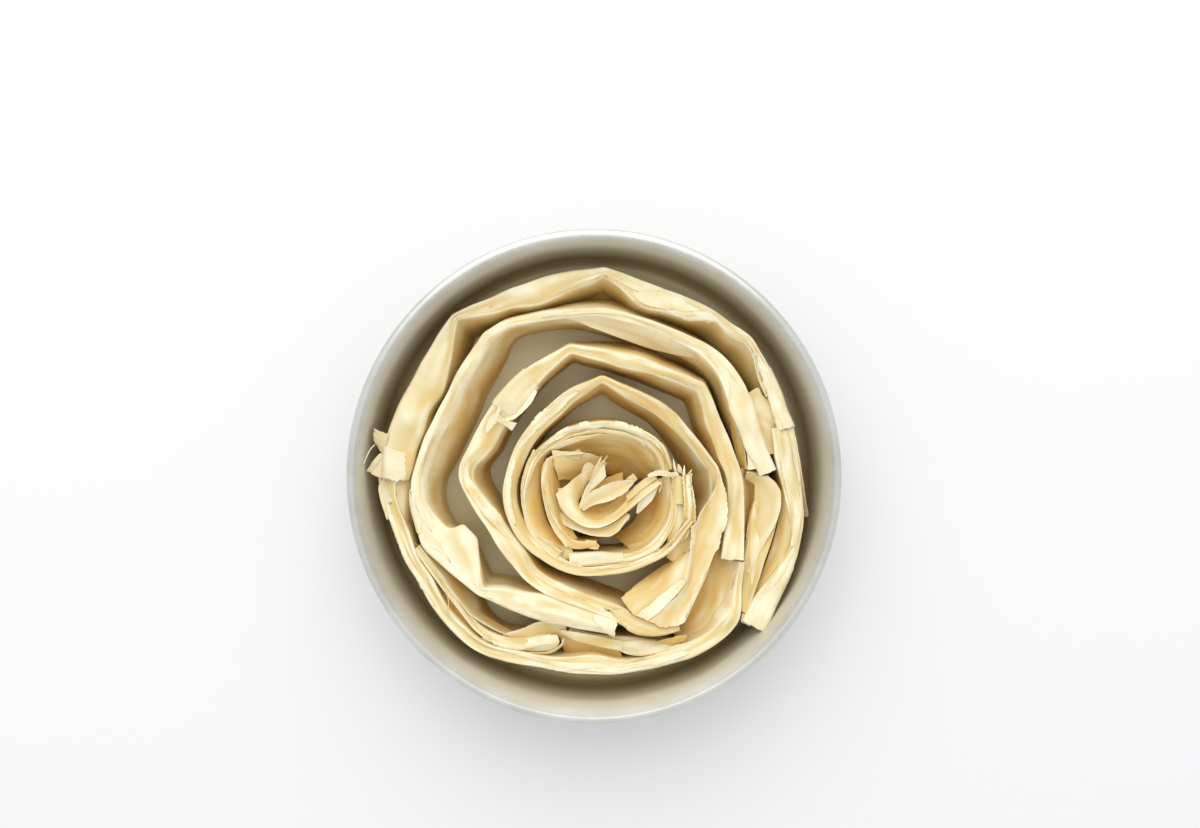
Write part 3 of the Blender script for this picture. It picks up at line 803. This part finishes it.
# Evenly spaced numbers from 0 to 1 with one more close to each end, which keeps the turn of the
# paper's cut edge narrow.
def evenly(count):
    inner = np.linspace(0, 1, count)
    return np.concatenate([[0, 0.15 / count], inner[1:-1], [1 - 0.15 / count, 1]])


# A leaf on a strip. across is its mesh columns to one section place, and placeWidth and tearWidth
# are the mm that one place counts for on the flat leaf and along a torn end. A leaf that ends
# more than nearEnd from the strip's own end narrows over taper mm to almost a point, unless its
# veil is at least veiled. Its gap changes by the share lifts, over liftAlong mm and liftAcross
# places. The skin's tone is changed by dustless, and more on its ridges, where the flour lies:
# [more tone, section place, width].
layer = {"across": 7, "placeWidth": 7.0, "tearWidth": 9, "nearEnd": 3, "tip": 0.4, "taper": 14,
         "tipCurve": 0.7, "veiled": 0.6, "lifts": 0.4, "liftAlong": 30, "liftAcross": 2, "dustless": -0.1,
         "flour": [[0.35, 2.1, 0.4], [0.4, 3.95, 0.15]]}


# A leaf that follows a strip's skin between two distances along it, ends, and between section
# places that go along its outer and inner edges, lifted off by its gap. With no gap it is the
# skin itself, floured on its ridges, and with a gap below nothing it lies under the skin; neither
# is narrowed. The ends are torn by the cube of the nearness to them, and the edges, except the
# skin's, by the square. share says where the columns lie from edge to edge.
def stripLeaf(strip, stride, ends, outer, inner, gap, tear, tone, veil, seed, share=None):
    start, end = ends
    rows = evenly(max(4, round((end - start) / paper["step"])))[:, None]
    if share is None:
        share = evenly(max(8, round(np.ptp([*outer, *inner]) * layer["across"])))
    share = share[None]
    distance = start + (end - start) * rows
    outerEdge, innerEdge = (np.interp(rows, np.linspace(0, 1, len(edge)), edge) for edge in (outer, inner))
    narrow = 1
    if 0 < gap and veil < layer["veiled"]:
        fromStart = distance - start if start > layer["nearEnd"] else np.inf
        fromEnd = end - distance if end < stride["starts"][-1] - layer["nearEnd"] else np.inf
        far = (np.minimum(fromStart, fromEnd) + layer["tip"]) / layer["taper"]
        narrow = np.clip(far, 0, 1) ** layer["tipCurve"]
    place = (outerEdge + innerEdge) / 2 + (innerEdge - outerEdge) * (share - 0.5) * narrow
    across = place * layer["tearWidth"]
    along = distance + tear * (torn(seed, across) * (1 - rows) ** 3 + torn(seed + 2, across) * rows ** 3)
    jag = tear * (torn(seed + 4, distance) * (1 - share) ** 2 + torn(seed + 6, distance) * share ** 2)
    points = skin(strip, stride, along, place, jag if gap else 0 * jag, strip["seed"])
    lengths = np.stack([along, place * layer["placeWidth"]], -1)
    lifts = noise(seed + 8, along / layer["liftAlong"], place / layer["liftAcross"])
    if gap == 0:
        tone = tone + layer["dustless"]
        for more, ridge, width in layer["flour"]:
            tone = tone + more * np.exp(-((place - ridge) / width) ** 2)
    points = points - gridNormals(points) * (gap * (1 + layer["lifts"] * lifts))[..., None]
    points = crumple(points, lengths, strip["crumple"], strip["seed"] + 20)
    return leafPart(points, lengths, tone, veil, seed + 9)


# A loose leaf stretched over lines of points: u runs along the lines, each rounded at its inner
# points, and v from line to line. Its four edges are torn.
def looseLeaf(leaf, seed):
    tear, tones, veil, *lines = leaf
    bend, crumpled = 0.4, 0.5
    lines = [np.array(line, float) for line in lines]
    long = max(np.linalg.norm(np.diff(line, axis=0), axis=1).sum() for line in lines)
    wide = max(np.linalg.norm(lines[0][i] - lines[-1][i]) for i in (0, len(lines[0]) // 2, -1)) + 1
    rows = evenly(max(8, round(long / paper["looseStep"])))[:, None]
    columns = evenly(max(6, round(wide / paper["looseStep"])))[None]
    u = rows + tear / long * (torn(seed, columns * wide) * (1 - rows)
                              + torn(seed + 2, columns * wide) * rows)
    v = columns + tear / wide * (torn(seed + 4, rows * long) * (1 - columns)
                                 + torn(seed + 6, rows * long) * columns)
    stretched = [roundedLine(line, (u * (len(line) - 1)).ravel(), bend, bend) for line in lines]
    points = roundedLine(np.stack(stretched, 1), (v * (len(lines) - 1)).ravel(), bend, bend)
    points = points.reshape(rows.size, columns.size, 3)
    lengths = gridLengths(points)
    tones = np.atleast_1d(tones)
    tone = np.interp(columns, np.linspace(0, 1, len(tones)), tones)
    return leafPart(crumple(points, lengths, crumpled, seed + 10), lengths, tone, veil, seed)


# The columns of a strip's skin, closer where it bends: [from, to, how many] in section places.
skinColumns = [[0, 0.02, 2], [0.2, 1.8, 9], [1.88, 2.3, 9], [2.45, 3.55, 9], [3.65, 3.88, 4],
               [3.92, 4.08, 7], [4.13, 4.4, 5], [4.55, 5.8, 9], [5.98, 6, 2]]

# The sheets that show inside a strip's open ends: their depths under the skin and how far in
# they go, in mm, how much of its depth each is set back, their edges as section places, and how
# torn they and the skin are.
endSheets = {"depths": (1.6, 3.0), "long": 14, "setBack": 0.4, "edges": (0.5, 5.5), "torn": 0.35}

# Thin slivers of leaf along a strip, drawn at random: one for every so many mm. Their tips are
# section places on the top, and halfWidth and varies shape their middle.
slivers = {"every": 60, "long": (30, 80), "tips": (2.1, 4.1), "tipWidth": 0.06, "halfWidth": 0.4,
           "varies": 0.3, "within": (2.0, 4.2), "gap": (0.12, 0.25), "torn": 0.2, "tone": (0.7, 1)}


# The slivers of one strip up to a distance along it, as arguments of stripLeaf.
def sliversOf(draw, reach):
    half, varies = slivers["halfWidth"], slivers["varies"]
    for _ in range(int(reach / slivers["every"])):
        long = draw.uniform(*slivers["long"])
        start = draw.uniform(1, max(2, reach - long - 1))
        tips = draw.uniform(*slivers["tips"], 2)
        middle = np.clip(tips.mean() + [-half, half] + draw.uniform(-varies, varies, 2), *slivers["within"])
        outer = tips[0], middle[0], tips[1]
        inner = tips[0] + slivers["tipWidth"], middle[1], tips[1] + slivers["tipWidth"]
        yield ((start, min(start + long, reach - 1)), outer, inner, draw.uniform(*slivers["gap"]),
               slivers["torn"], draw.uniform(*slivers["tone"]), 0.0)


# Joins a strip's skin, end sheets, layers, slivers and loose leaves into one mesh, gives the
# paper its thickness and stands it for its CAD node. All but the loose leaves share the skin's
# waves and creases, and each layer, sliver and loose leaf is torn and shaded by its own seed.
def makeStrip(name, strip):
    seed, tone = strip["seed"], strip["tone"]
    stride = strideOf(strip)
    total = stride["starts"][-1]
    columns = np.concatenate([np.linspace(*run) for run in skinColumns]) / 6
    tear = endSheets["torn"]
    parts = [stripLeaf(strip, stride, (0, total), (0, 0), (6, 6), 0, tear, tone, 0, seed, columns)]
    first, last = endSheets["edges"]
    for depth in endSheets["depths"]:
        back, long = endSheets["setBack"] * depth, endSheets["long"]
        for ends in ((back, long), (total - long, total - back)):
            parts.append(stripLeaf(strip, stride, ends, (first, first), (last, last), -depth, tear, tone, 0,
                                   seed + 60))
    layers = [(row[:2], row[2:4], row[4:6], *row[6:]) for row in strip["layers"]]
    layers += sliversOf(np.random.default_rng(seed), min(strip["sliversTo"], total))
    for i, (ends, outer, inner, gap, *rest) in enumerate(layers):
        parts.append(stripLeaf(strip, stride, ends, outer, inner, gap + paper["thickness"] / 2, *rest,
                               seed + 100 + 20 * i))
    for i, leaf in enumerate(strip["leaves"]):
        parts.append(looseLeaf(leaf, seed + 500 + 20 * i))
    starts = np.cumsum([0] + [part["points"].size // 3 for part in parts])
    points, uv = (np.concatenate([part[key].reshape(-1, size) for part in parts])
                  for key, size in (("points", 3), ("uv", 2)))
    leafTone, leafVeil = (np.concatenate([part[key].ravel() for part in parts]) for key in ("tone", "veil"))
    faces = np.concatenate([part["faces"] + start for part, start in zip(parts, starts)])
    piece = addPiece(name + "_leaves", points, faces.tolist(), phyllo,
                     {"leafTone": leafTone, "leafVeil": leafVeil}, uv)
    solidify = piece.modifiers.new("thickness", "SOLIDIFY")
    solidify.thickness = paper["thickness"] * mm
    solidify.offset = 0.0
    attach(piece, "root")
    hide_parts(name)


for number, (name, strip) in enumerate(strips.items()):
    makeStrip(name, {**usual, **strip, "seed": 1000 * (number + 1)})
print("strips made")


# The table: one white square under the tin. It isn't part of the pie.
def makeTable():
    table = {"size": 4.0, "colour": "#e7e6e5", "roughness": 0.6}
    material, tree, shader = startMaterial("matteWhiteTable", {
        "Roughness": table["roughness"], "Base Color": linearColour(table["colour"])})
    half = table["size"] / 2
    mesh = bpy.data.meshes.new("table")
    mesh.from_pydata([(-half, -half, 0), (half, -half, 0), (half, half, 0), (-half, half, 0)], [],
                     [(0, 1, 2, 3)])
    mesh.materials.append(material)
    top = bpy.data.objects.new("table", mesh)
    bpy.context.collection.objects.link(top)


# A window beyond the pie, which faces its middle, under an even pale sky.
def makeLight():
    window = {"place": (-0.12, 1.15, 1.2), "size": 1.8, "power": 17.5}
    sky = {"colour": "#f6f8fb", "strength": 0.97}
    light = bpy.data.lights.new("windowLight", "AREA")
    light.shape = "SQUARE"
    light.size = window["size"]
    light.energy = window["power"]
    lamp = bpy.data.objects.new("windowLight", light)
    lamp.location = window["place"]
    lamp.rotation_euler = (-Vector(window["place"])).to_track_quat("-Z", "Y").to_euler()
    bpy.context.collection.objects.link(lamp)
    world = bpy.data.worlds.new("studio")
    world.use_nodes = True
    background = world.node_tree.nodes["Background"]
    background.inputs[0].default_value = linearColour(sky["colour"])
    background.inputs[1].default_value = sky["strength"]
    bpy.context.scene.world = world


# The camera looks straight down.
def makeCamera():
    view = {"lens": 42.0, "sensor": 36.0, "nearest": 0.01, "place": (0.0029, 0.0302, 0.731)}
    camera = bpy.data.cameras.new("overheadCamera")
    camera.lens = view["lens"]
    camera.sensor_width = view["sensor"]
    camera.clip_start = view["nearest"]
    holder = bpy.data.objects.new("overheadCamera", camera)
    holder.location = view["place"]
    bpy.context.collection.objects.link(holder)
    bpy.context.scene.camera = holder
    bpy.context.scene.view_settings.view_transform = "Standard"


makeTable()
makeLight()
makeCamera()
print("table, light and camera made")

bpy.context.view_layer.update()
